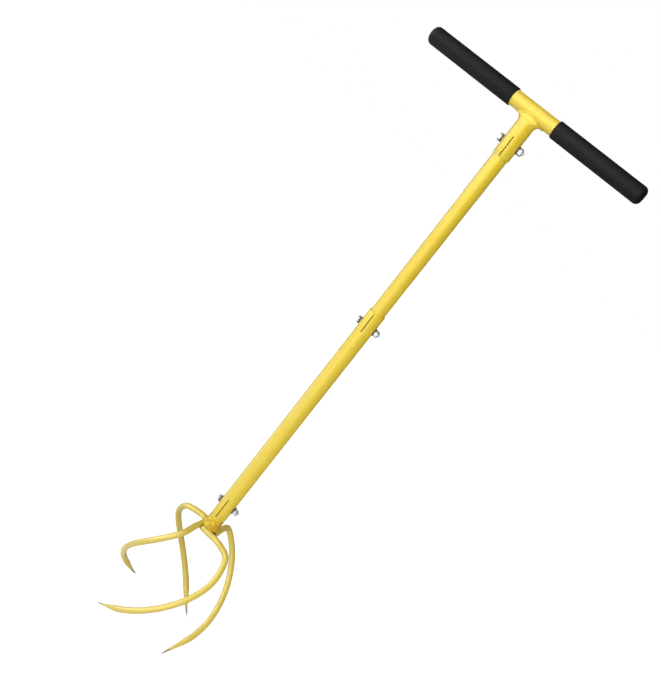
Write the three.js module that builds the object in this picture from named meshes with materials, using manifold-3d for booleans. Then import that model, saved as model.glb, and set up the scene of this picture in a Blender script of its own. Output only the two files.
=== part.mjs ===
// Hand cultivator: a T handle, a telescopic shaft and a head of four twisted tines.
// Millimetres, +Z up, crossbar along X. The origin is on the ground, midway between the tips.
import * as THREE from 'three';
import { mergeVertices } from 'three/addons/utils/BufferGeometryUtils.js';
import Module from 'manifold-3d';

// Overall sizes
const totalHeight = 990;            // ground to the top of the grips, fully drawn out
const travelLength = 90;            // how far the shaft shortens
const seatGap = 0.3;                // between two pieces that touch
const slideGap = 0.3;               // radial play of one tube in another
const overrunLength = 5;            // how far a cutting shape runs past what it cuts

// Tubes: the inner stock is the upper tube and the hub stem
const tubeDiameter = 23;
const tubeWall = 1.2;
const sleeveWall = 1.2;             // wall of the tubes that the inner stock slides into

// Crossbar and grips
const barLength = 362;              // over the closed ends of the grips
const barDiameter = 23;
const bareBarLength = 71;           // yellow middle between the grips
const gripDiameter = 26.6;
const gripEndWall = 3;
const gripEndRounding = 7.5;
const gripLipRounding = 0.9;
const gripPlay = 0.3;               // radial, between the grip's bore and the bar

// Handle socket, welded under the crossbar
const socketDrop = 71;              // bar axis down to the socket's open end
const saddleLow = 4.5;              // top of the saddle's ears below the bar axis
const flareRadius = 9;              // concave sweep from the socket out along the bar
const flareDepth = 0.7;             // how much the flare thickens the front and back
const handleClampInset = 20;        // clamp bolt above the open end
const handleSlitLength = 31.5;
const tubeTopInset = 14;            // top of the upper tube below the underside of the bar

// Shaft
const stemShow = 22.2;              // bare hub stem between the tines and the lower tube
const lowerTubeLength = 409.5;
const tubeOverlap = 130;            // upper tube inside the lower one, fully drawn out
const heightClampInset = 24.5;      // clamp bolt below the top of the lower tube
const heightSlitLength = 34;
const hubClampInset = 23.5;         // clamp bolt above the bottom of the lower tube
const hubSlitLength = 37.5;
const slitWidth = 1.6;

// Tine head
const rootHeight = 193;             // axis of the tine roots above the ground
const rodDiameter = 10;
const rootOverhang = 1.5;           // axis of a root outside the stem's outer wall
const rootStraight = 27;            // straight end of a root beyond the tool's axis
const tineSweepRadius = 88;         // widest place of a tine's axis, before its weld is tilted
const pointLength = 48;             // forged taper at the tip
const ringSpacing = 6.5;            // along the rod
const stemWall = 2;
const stemInsert = 60;              // hub stem inside the lower tube
const beadRadius = 3.2;             // weld bead round the foot of the stem

// Clamp fasteners: hexagon bolt, two washers and a nut
const boltDiameter = 6;
const holePlay = 0.3;               // radial, round the bolt
const headWidth = 10;               // across flats, head and nut
const headThickness = 4;
const nutHeight = 5;
const boltEndShow = 2.6;
const boltEndChamfer = 0.8;
const washerDiameter = 12;
const washerThickness = 1.6;
const chamferFaceShare = 0.95;      // flat face of a head or nut, as a share of its width
const chamferSlopeShare = 0.577;    // thirty degrees

// Facets
const roundSides = 48;
const rodSides = 12;
const fastenerSides = 24;
const hexagonCorners = 6;
const flareRings = 8;
const roundingSteps = 5;

// The sweep of a tine beyond its straight root: reach and height as shares of tineSweepRadius and
// rootHeight, and the turn about the tool's axis in degrees, clockwise from the root's line.
const sweepShares = [
  { reach: 0.604, turn: -16.0, height: 0.9613 },
  { reach: 0.748, turn: -22.5, height: 0.8855 },
  { reach: 0.872, turn: -32.0, height: 0.7795 },
  { reach: 0.938, turn: -42.0, height: 0.6747 },
  { reach: 0.976, turn: -52.5, height: 0.5698 },
  { reach: 0.993, turn: -63.0, height: 0.4679 },
  { reach: 0.996, turn: -73.5, height: 0.3698 },
  { reach: 0.984, turn: -85.0, height: 0.2704 },
  { reach: 0.956, turn: -96.5, height: 0.1835 },
  { reach: 0.926, turn: -108.5, height: 0.1079 },
  { reach: 0.926, turn: -121.0, height: 0.0387 },
  { reach: 0.959, turn: -128.5, height: 0.0008 },
];

// How each tine was welded, in degrees off square about the middle of its root: rolled end for end,
// tilted about the root's line and turned about the upright. Hand work, so no two agree.
const weldShares = [
  { name: 'tine_front', roll: 0.6, tilt: -1.2, turn: 0.9 },
  { name: 'tine_right', roll: -0.6, tilt: -1.2, turn: 2.2 },
  { name: 'tine_back', roll: -0.6, tilt: -1.2, turn: 0.9 },
  { name: 'tine_left', roll: 0.6, tilt: 0.9, turn: -1.6 },
];

// Places and radii that follow from the sizes above
const tubeRadius = tubeDiameter / 2;
const barRadius = barDiameter / 2;
const sleeveBore = tubeRadius + slideGap;
const sleeveRadius = sleeveBore + sleeveWall;
const rodRadius = rodDiameter / 2;
const gripRadius = gripDiameter / 2;
const gripLength = (barLength - bareBarLength) / 2;
const boltRadius = boltDiameter / 2;
const holeRadius = boltRadius + holePlay;
const cornerRadius = headWidth / 2 / Math.cos(Math.PI / hexagonCorners);

const barHeight = totalHeight - gripRadius;
const socketBottom = barHeight - socketDrop;
const stemBottom = rootHeight + rodRadius + seatGap;
const lowerTubeBottom = stemBottom + stemShow;
const lowerTubeTop = lowerTubeBottom + lowerTubeLength;
const stemTop = lowerTubeBottom + stemInsert;
const upperTubeTop = barHeight - barRadius - tubeTopInset;
const upperTubeBottom = lowerTubeTop - tubeOverlap;

const hubClampHeight = lowerTubeBottom + hubClampInset;
const heightClampHeight = lowerTubeTop - heightClampInset;
const handleClampHeight = socketBottom + handleClampInset;
const washerSeat = sleeveRadius + seatGap;
const headSeat = washerSeat + washerThickness + seatGap;
const boltLength = 2 * headSeat + nutHeight + boltEndShow;

const rootOffset = tubeRadius + rootOverhang;
const rootStart = -(rootOffset - rodRadius - seatGap);
const rootMiddle = (rootStart + rootStraight) / 2;

const quarterTurn = Math.PI / 2;

// Materials
const powderCoat = new THREE.MeshStandardMaterial({
  name: 'yellow_powder_coat', color: 0xecc93c, roughness: 0.38, metalness: 0.1,
});
const foamRubber = new THREE.MeshStandardMaterial({
  name: 'black_foam_rubber', color: 0x2b2b2c, roughness: 0.9, metalness: 0,
});
const zincPlate = new THREE.MeshStandardMaterial({
  name: 'zinc_plated_steel', color: 0xb9bcc0, roughness: 0.35, metalness: 0.9,
});

const blackOxide = new THREE.MeshStandardMaterial({
  name: 'black_oxide_steel', color: 0x2b2c2e, roughness: 0.5, metalness: 0.5,
});

const wasm = await Module();
wasm.setup();

// A closed geometry as a solid that can be cut and joined
function toSolid(geometry) {
  const bare = geometry.clone();
  bare.deleteAttribute('normal');
  bare.deleteAttribute('uv');
  const merged = mergeVertices(bare);
  const index = merged.index.array;
  const kept = [];
  for (let i = 0; i < index.length; i += 3) {
    const [a, b, c] = [index[i], index[i + 1], index[i + 2]];
    if (a !== b && b !== c && c !== a) {
      kept.push(a, b, c);
    }
  }
  const mesh = new wasm.Mesh({
    numProp: 3,
    vertProperties: new Float32Array(merged.attributes.position.array),
    triVerts: new Uint32Array(kept),
  });
  return new wasm.Manifold(mesh);
}

function toGeometry(solid) {
  const mesh = solid.getMesh();
  const geometry = new THREE.BufferGeometry();
  geometry.setAttribute('position', new THREE.BufferAttribute(mesh.vertProperties, mesh.numProp));
  geometry.setIndex(new THREE.BufferAttribute(mesh.triVerts, 1));
  geometry.computeVertexNormals();
  return geometry;
}

// Turns [radius, height] pairs about Z. The outline runs up its outside and down its inside.
function revolve(outline, sides) {
  const points = outline.map(([radius, height]) => new THREE.Vector2(radius, height));
  return toSolid(new THREE.LatheGeometry(points, sides).rotateX(quarterTurn));
}

// A skin over rings of points, closed by a fan to a point at either end
function loft(rings, startPoint, endPoint) {
  const sides = rings[0].length;
  const points = [startPoint, ...rings.flat(), endPoint];
  const last = points.length - 1;
  const faces = [];
  for (let side = 0; side < sides; side += 1) {
    const next = (side + 1) % sides;
    faces.push(0, 1 + next, 1 + side);
    for (let ring = 0; ring < rings.length - 1; ring += 1) {
      const low = 1 + ring * sides;
      const high = low + sides;
      faces.push(low + side, low + next, high + next);
      faces.push(low + side, high + next, high + side);
    }
    const top = 1 + (rings.length - 1) * sides;
    faces.push(last, top + side, top + next);
  }
  const geometry = new THREE.BufferGeometry().setFromPoints(points);
  geometry.setIndex(faces);
  return toSolid(geometry);
}

function tube(outer, inner, length) {
  return revolve([[inner, 0], [outer, 0], [outer, length], [inner, length], [inner, 0]], roundSides);
}

// A round bar across the tool along X, at a height
function crossPin(radius, halfLength, height, sides) {
  const pin = new THREE.CylinderGeometry(radius, radius, 2 * halfLength, sides);
  return toSolid(pin.rotateZ(quarterTurn).translate(0, 0, height));
}

// A bolt hole through both side walls
function boltHole(height) {
  return crossPin(holeRadius, sleeveRadius + overrunLength, height, fastenerSides);
}

// A bolt hole drawn out to a slot, through both side walls
function sideSlot(low, high) {
  const width = 2 * (sleeveRadius + overrunLength);
  const body = new THREE.BoxGeometry(width, 2 * holeRadius, high - low);
  return toSolid(body.translate(0, 0, (low + high) / 2)).add(boltHole(low)).add(boltHole(high));
}

// A saw cut through the front and back walls, with a round end
function slit(openEnd, closedEnd) {
  const depth = 2 * (sleeveRadius + overrunLength);
  const height = Math.abs(closedEnd - openEnd);
  const cut = new THREE.BoxGeometry(slitWidth, depth, height);
  const end = new THREE.CylinderGeometry(slitWidth / 2, slitWidth / 2, depth, rodSides);
  return toSolid(cut.translate(0, 0, (openEnd + closedEnd) / 2))
    .add(toSolid(end.translate(0, 0, closedEnd)));
}

// A hexagon from zero to a height, its corners chamfered on the faces that ask for it
function hexagon(height, chamferLow, chamferHigh) {
  const corners = [];
  for (let corner = 0; corner < hexagonCorners; corner += 1) {
    const angle = (2 * Math.PI * corner) / hexagonCorners;
    corners.push(new THREE.Vector2(cornerRadius * Math.cos(angle), cornerRadius * Math.sin(angle)));
  }
  const options = { depth: height, bevelEnabled: false };
  const prism = toSolid(new THREE.ExtrudeGeometry(new THREE.Shape(corners), options));
  const face = (headWidth / 2) * chamferFaceShare;
  const rim = cornerRadius + seatGap;
  const drop = (rim - face) * chamferSlopeShare;
  const outline = [[0, 0]];
  outline.push(...(chamferLow ? [[face, 0], [rim, drop]] : [[rim, 0]]));
  outline.push(...(chamferHigh ? [[rim, height - drop], [face, height]] : [[rim, height]]));
  outline.push([0, height]);
  return prism.intersect(revolve(outline, fastenerSides));
}

function makeMesh(name, solid, material) {
  const mesh = new THREE.Mesh(toGeometry(solid), material);
  mesh.name = name;
  return mesh;
}

// Crossbar: plain tube, its ends open inside the grips
function makeCrossbar() {
  const length = barLength - 2 * (gripEndWall + seatGap);
  const bar = makeMesh('crossbar', tube(barRadius, barRadius - tubeWall, length), powderCoat);
  bar.rotation.y = quarterTurn;
  bar.position.set(-length / 2, 0, barHeight);
  return bar;
}

// Grip: a foam sleeve with a closed, rounded end and a flat in its middle
function gripOutline() {
  const bore = barRadius + gripPlay;
  const outline = [[bore, 0], [gripRadius - gripLipRounding, 0], [gripRadius, gripLipRounding]];
  for (let step = 0; step <= roundingSteps; step += 1) {
    const angle = (quarterTurn * step) / roundingSteps;
    outline.push([
      gripRadius - gripEndRounding * (1 - Math.cos(angle)),
      gripLength - gripEndRounding * (1 - Math.sin(angle)),
    ]);
  }
  outline.push([0, gripLength], [0, gripLength - gripEndWall]);
  outline.push([bore, gripLength - gripEndWall], [bore, 0]);
  return outline;
}

function makeGrip(name, side) {
  const grip = makeMesh(name, revolve(gripOutline(), roundSides), foamRubber);
  grip.rotation.y = side * quarterTurn;
  grip.position.set((side * bareBarLength) / 2, 0, barHeight);
  return grip;
}

// Handle socket: a sleeve that flares into the crossbar, cut to sit round its underside
function makeSocket() {
  const underside = socketDrop - barRadius;
  const flareStart = underside - flareRadius;
  const ring = (height, out) => {
    const points = [];
    const acrossBar = sleeveRadius + flareDepth * (out / flareRadius);
    for (let side = 0; side < roundSides; side += 1) {
      const angle = (2 * Math.PI * side) / roundSides;
      const x = (sleeveRadius + out) * Math.cos(angle);
      points.push(new THREE.Vector3(x, acrossBar * Math.sin(angle), height));
    }
    return points;
  };
  const rings = [ring(0, 0)];
  for (let step = 0; step <= flareRings; step += 1) {
    const angle = (quarterTurn * step) / flareRings;
    rings.push(ring(flareStart + flareRadius * Math.sin(angle), flareRadius * (1 - Math.cos(angle))));
  }
  const top = socketDrop - saddleLow;
  rings.push(ring(top, flareRadius));
  const shell = loft(rings, new THREE.Vector3(0, 0, 0), new THREE.Vector3(0, 0, top));
  const bore = revolve([
    [0, -overrunLength], [sleeveBore, -overrunLength], [sleeveBore, socketDrop], [0, socketDrop],
  ], roundSides);
  const solid = shell
    .subtract(bore)
    .subtract(crossPin(barRadius + seatGap, barLength / 2, socketDrop, roundSides))
    .subtract(slit(-overrunLength, handleSlitLength))
    .subtract(boltHole(handleClampInset));
  const socket = makeMesh('handle_socket', solid, powderCoat);
  socket.position.z = socketBottom;
  return socket;
}

// Upper tube: pinned in the socket, and slotted so that the height bolt can stay in place
function makeUpperTube() {
  const slotLow = heightClampHeight - upperTubeBottom;
  const solid = tube(tubeRadius, tubeRadius - tubeWall, upperTubeTop - upperTubeBottom)
    .subtract(boltHole(handleClampHeight - upperTubeBottom))
    .subtract(sideSlot(slotLow, slotLow + travelLength));
  const upper = makeMesh('upper_tube', solid, powderCoat);
  upper.position.z = upperTubeBottom;
  return upper;
}

// Lower tube: slit at both ends, so that the bolts can clamp what slides in
function makeLowerTube() {
  const solid = tube(sleeveRadius, sleeveBore, lowerTubeLength)
    .subtract(slit(-overrunLength, hubSlitLength))
    .subtract(slit(lowerTubeLength + overrunLength, lowerTubeLength - heightSlitLength))
    .subtract(boltHole(hubClampInset))
    .subtract(boltHole(lowerTubeLength - heightClampInset));
  const lower = makeMesh('lower_tube', solid, powderCoat);
  lower.position.z = lowerTubeBottom;
  return lower;
}

// Hub stem: a short tube that stands on the tine roots in its weld bead
function makeHubStem() {
  const bead = [[tubeRadius - stemWall / 2, 0]];
  for (let step = 0; step <= roundingSteps; step += 1) {
    const angle = (quarterTurn * step) / roundingSteps;
    bead.push([tubeRadius + beadRadius * Math.cos(angle), beadRadius * Math.sin(angle)]);
  }
  bead.push([tubeRadius - stemWall / 2, beadRadius], [tubeRadius - stemWall / 2, 0]);
  const solid = tube(tubeRadius, tubeRadius - stemWall, stemTop - stemBottom)
    .add(revolve(bead, roundSides))
    .subtract(boltHole(hubClampHeight - stemBottom));
  const stem = makeMesh('hub_stem', solid, powderCoat);
  stem.position.z = stemBottom;
  return stem;
}

// The axis of the tine whose root runs to the right, under the front of the stem
function tinePath() {
  const points = [rootStart, rootMiddle, rootStraight]
    .map((x) => new THREE.Vector3(x, -rootOffset, rootHeight));
  for (const { reach, turn, height } of sweepShares) {
    const angle = THREE.MathUtils.degToRad(turn);
    const radius = tineSweepRadius * reach;
    points.push(new THREE.Vector3(
      radius * Math.cos(angle), radius * Math.sin(angle), rootHeight * height,
    ));
  }
  return new THREE.CatmullRomCurve3(points, false, 'centripetal');
}

// Tine: round rod, bent at the shoulder and swept round and down to a forged point
function tineSolid() {
  const path = tinePath();
  const length = path.getLength();
  const steps = Math.round(length / ringSpacing);
  const frames = path.computeFrenetFrames(steps, false);
  const rings = [];
  for (let step = 0; step < steps; step += 1) {
    const share = step / steps;
    const left = length * (1 - share);
    const taper = Math.min(1, left / pointLength);
    const centre = path.getPointAt(share);
    const ring = [];
    for (let side = 0; side < rodSides; side += 1) {
      const angle = (2 * Math.PI * side) / rodSides;
      ring.push(centre.clone()
        .addScaledVector(frames.normals[step], rodRadius * taper * Math.cos(angle))
        .addScaledVector(frames.binormals[step], rodRadius * taper * Math.sin(angle)));
    }
    rings.push(ring);
  }
  return loft(rings, path.getPointAt(0), path.getPointAt(1));
}

function makeTines() {
  const head = new THREE.Group();
  const solid = tineSolid().translate([-rootMiddle, rootOffset, -rootHeight]);
  weldShares.forEach(({ name, roll, tilt, turn }, quarter) => {
    const tine = makeMesh(name, solid, powderCoat);
    const [x, y, z] = [tilt, roll, turn].map(THREE.MathUtils.degToRad);
    tine.rotation.set(x, y, z, 'ZXY');
    tine.position.set(rootMiddle, -rootOffset, rootHeight);
    const arm = new THREE.Group().add(tine);
    arm.rotation.z = quarter * quarterTurn;
    head.add(arm);
  });
  return head;
}

function boltSolid() {
  const shank = revolve([
    [0, -headThickness / 2], [boltRadius, -headThickness / 2],
    [boltRadius, boltLength - boltEndChamfer], [boltRadius - boltEndChamfer, boltLength],
    [0, boltLength],
  ], fastenerSides);
  return hexagonHead().add(shank);
}

function hexagonHead() {
  return hexagon(headThickness, true, false).translate([0, 0, -headThickness]);
}

function nutSolid() {
  const through = nutHeight + overrunLength;
  const bore = revolve([
    [0, -overrunLength], [holeRadius, -overrunLength], [holeRadius, through], [0, through],
  ], fastenerSides);
  return hexagon(nutHeight, true, true).subtract(bore);
}

function washerSolid() {
  const outer = washerDiameter / 2;
  return revolve([
    [holeRadius, 0], [outer, 0], [outer, washerThickness], [holeRadius, washerThickness],
    [holeRadius, 0],
  ], fastenerSides);
}

// One clamp: the bolt enters from the left, and its nut is on the right
function makeClamp(name, height) {
  const clamp = new THREE.Group();
  const pieces = [
    [`${name}_bolt`, boltSolid(), -headSeat, zincPlate],
    [`${name}_bolt_washer`, washerSolid(), -(washerSeat + washerThickness), blackOxide],
    [`${name}_nut_washer`, washerSolid(), washerSeat, blackOxide],
    [`${name}_nut`, nutSolid(), headSeat, zincPlate],
  ];
  for (const [pieceName, solid, x, material] of pieces) {
    const mesh = makeMesh(pieceName, solid, material);
    mesh.rotation.y = quarterTurn;
    mesh.position.x = x;
    clamp.add(mesh);
  }
  clamp.position.z = height;
  return clamp;
}

const handle = new THREE.Group();
handle.add(makeCrossbar(), makeGrip('grip_left', -1), makeGrip('grip_right', 1));
handle.add(makeSocket(), makeUpperTube(), makeClamp('handle', handleClampHeight));

const base = new THREE.Group();
base.add(makeLowerTube(), makeHubStem(), makeTines());
base.add(makeClamp('height', heightClampHeight), makeClamp('hub', hubClampHeight));

const cultivator = new THREE.Group();
cultivator.add(handle, base);

export default cultivator;
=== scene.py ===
import math

import bpy
from mathutils import Matrix, Vector


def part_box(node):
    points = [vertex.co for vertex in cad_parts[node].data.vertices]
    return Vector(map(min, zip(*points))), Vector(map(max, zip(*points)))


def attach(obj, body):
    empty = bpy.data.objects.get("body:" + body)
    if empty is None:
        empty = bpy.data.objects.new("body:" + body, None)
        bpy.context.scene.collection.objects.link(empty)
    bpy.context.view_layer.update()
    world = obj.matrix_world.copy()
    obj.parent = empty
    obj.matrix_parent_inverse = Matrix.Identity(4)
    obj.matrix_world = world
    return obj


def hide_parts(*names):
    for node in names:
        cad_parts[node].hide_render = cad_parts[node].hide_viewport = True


# Looks of the hand cultivator, in metres, +Z up, crossbar along X
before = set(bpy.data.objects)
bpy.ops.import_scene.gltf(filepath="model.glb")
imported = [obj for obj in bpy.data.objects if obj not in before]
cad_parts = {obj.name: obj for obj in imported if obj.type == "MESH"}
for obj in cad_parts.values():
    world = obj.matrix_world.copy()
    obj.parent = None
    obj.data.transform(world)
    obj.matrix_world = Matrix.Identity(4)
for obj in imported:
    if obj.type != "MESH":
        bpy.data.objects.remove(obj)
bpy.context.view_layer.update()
mm = 0.001
quarterTurn = math.pi / 2
pickSlack = 0.01 * mm       # when faces and edges are picked by their place
flatNormal = 0.9            # a face whose normal lies this much along an axis closes a bar's end
overrun = 1 * mm            # of a cut or a range past what it covers
beadMerge = 0.02 * mm       # doubles in a swept bar
seamMerge = 0.001 * mm      # doubles at a seam


# Small helpers

def pick(*pieces):
    bpy.ops.object.select_all(action="DESELECT")
    for piece in pieces:
        piece.select_set(True)
    bpy.context.view_layer.objects.active = pieces[0]


def takeNew(name):
    piece = bpy.context.active_object   # a primitive that was just added
    piece.name = name
    piece.data.name = name
    return piece


def addCylinder(name, radius, length, sides, middle=(0, 0, 0), turn=(0, 0, 0), ends="NGON"):
    bpy.ops.object.select_all(action="DESELECT")
    bpy.ops.mesh.primitive_cylinder_add(
        vertices=sides, radius=radius, depth=length, location=middle, rotation=turn, end_fill_type=ends)
    return takeNew(name)


def selectPart(piece, kind, wanted):
    # selects the faces, edges or points of a piece whose place passes the test, and stays in edit mode
    bpy.context.tool_settings.mesh_select_mode = (kind == "vertex", kind == "edge", kind == "face")
    pick(piece)
    bpy.ops.object.mode_set(mode="EDIT")
    bpy.ops.mesh.select_all(action="DESELECT")
    bpy.ops.object.mode_set(mode="OBJECT")
    points = piece.data.vertices
    if kind == "face":
        for face in piece.data.polygons:
            face.select = wanted(face.center, face.normal)
    elif kind == "edge":
        for edge in piece.data.edges:
            edge.select = wanted(points[edge.vertices[0]].co, points[edge.vertices[1]].co)
    else:
        for point in points:
            point.select = wanted(point.co)
    bpy.ops.object.mode_set(mode="EDIT")


def leaveEdit():
    bpy.ops.object.mode_set(mode="OBJECT")


def modify(piece, kind, **settings):
    modifier = piece.modifiers.new(kind.lower(), kind)
    for setting, value in settings.items():
        setattr(modifier, setting, value)
    pick(piece)
    bpy.ops.object.modifier_apply(modifier=modifier.name)


def roundEdges(piece, width, segments, sharpest):
    # rounds every edge that turns by more than the given degrees
    modify(piece, "BEVEL", width=width, segments=segments,
           limit_method="ANGLE", angle_limit=math.radians(sharpest))


def cutAway(piece, cutter, operation="DIFFERENCE", folded=False):
    # folded: the piece's own walls may touch, as in a narrow flare
    modify(piece, "BOOLEAN", operation=operation, object=cutter, solver="EXACT", use_self=folded)
    bpy.data.objects.remove(cutter)


def settle(piece):
    # puts the piece's place into its mesh
    pick(piece)
    bpy.ops.object.transform_apply(location=True, rotation=True, scale=True)


def cutLoops(piece, heights):
    # new rings of edges round an upright tube
    for height in heights:
        selectPart(piece, "vertex", lambda point: True)
        bpy.ops.mesh.bisect(plane_co=(0, 0, height), plane_no=(0, 0, 1), use_fill=False)
        leaveEdit()


def smooth(piece, crease=35):
    pick(piece)
    bpy.ops.object.shade_smooth_by_angle(angle=math.radians(crease))


def mergePoints(piece, distance):
    selectPart(piece, "vertex", lambda point: True)
    bpy.ops.mesh.remove_doubles(threshold=distance)
    bpy.ops.mesh.normals_make_consistent(inside=False)
    leaveEdit()


def joinPieces(first, *others):
    pick(first, *others)
    bpy.ops.object.join()
    return first


def copyPiece(piece, name, place):
    twin = piece.copy()
    twin.data = piece.data.copy()
    twin.name = name
    twin.data.name = name
    bpy.context.scene.collection.objects.link(twin)
    twin.matrix_world = place
    settle(twin)
    return twin


def paintFaces(piece, first, second, isSecond):
    # two materials on one piece, the second where a face passes the test
    piece.data.materials.append(first)
    piece.data.materials.append(second)
    for face in piece.data.polygons:
        if isSecond(face.center, face.normal):
            face.material_index = 1


def finishPiece(piece, material, slotName, body, *nodes):
    if piece.data.materials:
        piece.data.materials[0] = material
    else:
        piece.data.materials.append(material)
    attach(piece, body)
    if nodes:
        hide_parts(*nodes)


def sweepBead(name, points, radii, sides, closed):
    # a round bar along a line of points, with its own radius at each
    bpy.ops.object.select_all(action="DESELECT")
    bpy.ops.curve.primitive_bezier_curve_add(location=(0, 0, 0))
    piece = takeNew(name)
    line = piece.data
    line.splines.clear()
    spline = line.splines.new("POLY")
    spline.points.add(len(points) - 1)
    for target, place, radius in zip(spline.points, points, radii):
        target.co = (*place, 1)
        target.radius = radius / mm
    spline.use_cyclic_u = closed
    line.dimensions = "3D"
    line.fill_mode = "FULL"
    line.twist_mode = "MINIMUM"
    line.bevel_depth = mm
    line.bevel_resolution = (sides - 4) // 2
    line.use_fill_caps = not closed
    pick(piece)
    bpy.ops.object.convert(target="MESH")
    piece = bpy.context.active_object
    piece.name = name
    piece.data.name = name
    mergePoints(piece, beadMerge)
    return piece


def boxOf(node):
    low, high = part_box(node)
    return low, high, (low + high) / 2, high - low


# Materials

def toLinear(colour):
    # sRGB hex to the linear colour that Blender works in
    levels = [int(colour[i:i + 2], 16) / 255 for i in (1, 3, 5)]
    linear = [level / 12.92 if level <= 0.04045 else ((level + 0.055) / 1.055) ** 2.4 for level in levels]
    return (*linear, 1)


def addNode(tree, kind, settings=None, inputs=None):
    node = tree.nodes.new(kind)
    for name, value in (settings or {}).items():
        setattr(node, name, value)
    for socket, source in (inputs or {}).items():
        if isinstance(source, bpy.types.NodeSocket):
            tree.links.new(source, node.inputs[socket])
        else:
            node.inputs[socket].default_value = source
    return node


def newMaterial(name):
    material = bpy.data.materials.new(name)
    material.use_nodes = True
    tree = material.node_tree
    tree.nodes.clear()
    shader = addNode(tree, "ShaderNodeBsdfPrincipled")
    addNode(tree, "ShaderNodeOutputMaterial", inputs={"Surface": shader.outputs[0]})
    place = addNode(tree, "ShaderNodeTexCoord").outputs["Object"]
    return material, tree, shader, place


powderSettings = {
    "colour": "#F2D63C", "deeper": "#EBC930",
    "rodSheenPale": "#E6CE5C", "rodSheenPaleDeeper": "#DCC454",   # the rods' coat, painted paler as a painted sheen
    "roughness": 0.4, "unevenness": 0.04, "ior": 1.5,
    "sheen": 0.8, "weldSheen": 0.4,
    "peelSize": 1.6 * mm,       # orange peel of a sprayed and baked powder
    "peelHeight": 0.016 * mm,
    "cloudSize": 26 * mm,
    # over a weld: baked golden by its heat, with scorched specks and pinholes
    "baked": "#D6A22A", "heatSize": 6 * mm, "heatFrom": 0.42, "heatTo": 0.66, "heatMost": 0.85,
    "tintLeanRight": 0.01 / mm,      # the weld tint grows towards the right, along +X
    "burn": "#6A4210", "speckSize": 3.4 * mm, "speckFrom": 0.52, "speckTo": 0.72, "speckMost": 0.75,
    # where the coat has worn off the ground points, with a ragged edge
    "bareSteel": "#7C7C72", "bareDark": "#56564E", "bareRoughness": 0.45,
    "bareHeight": 13 * mm, "bareRag": 10 * mm, "bareBlur": 3 * mm, "ragSize": 2.4 * mm,
    "grindSize": 0.7 * mm,
}


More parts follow.
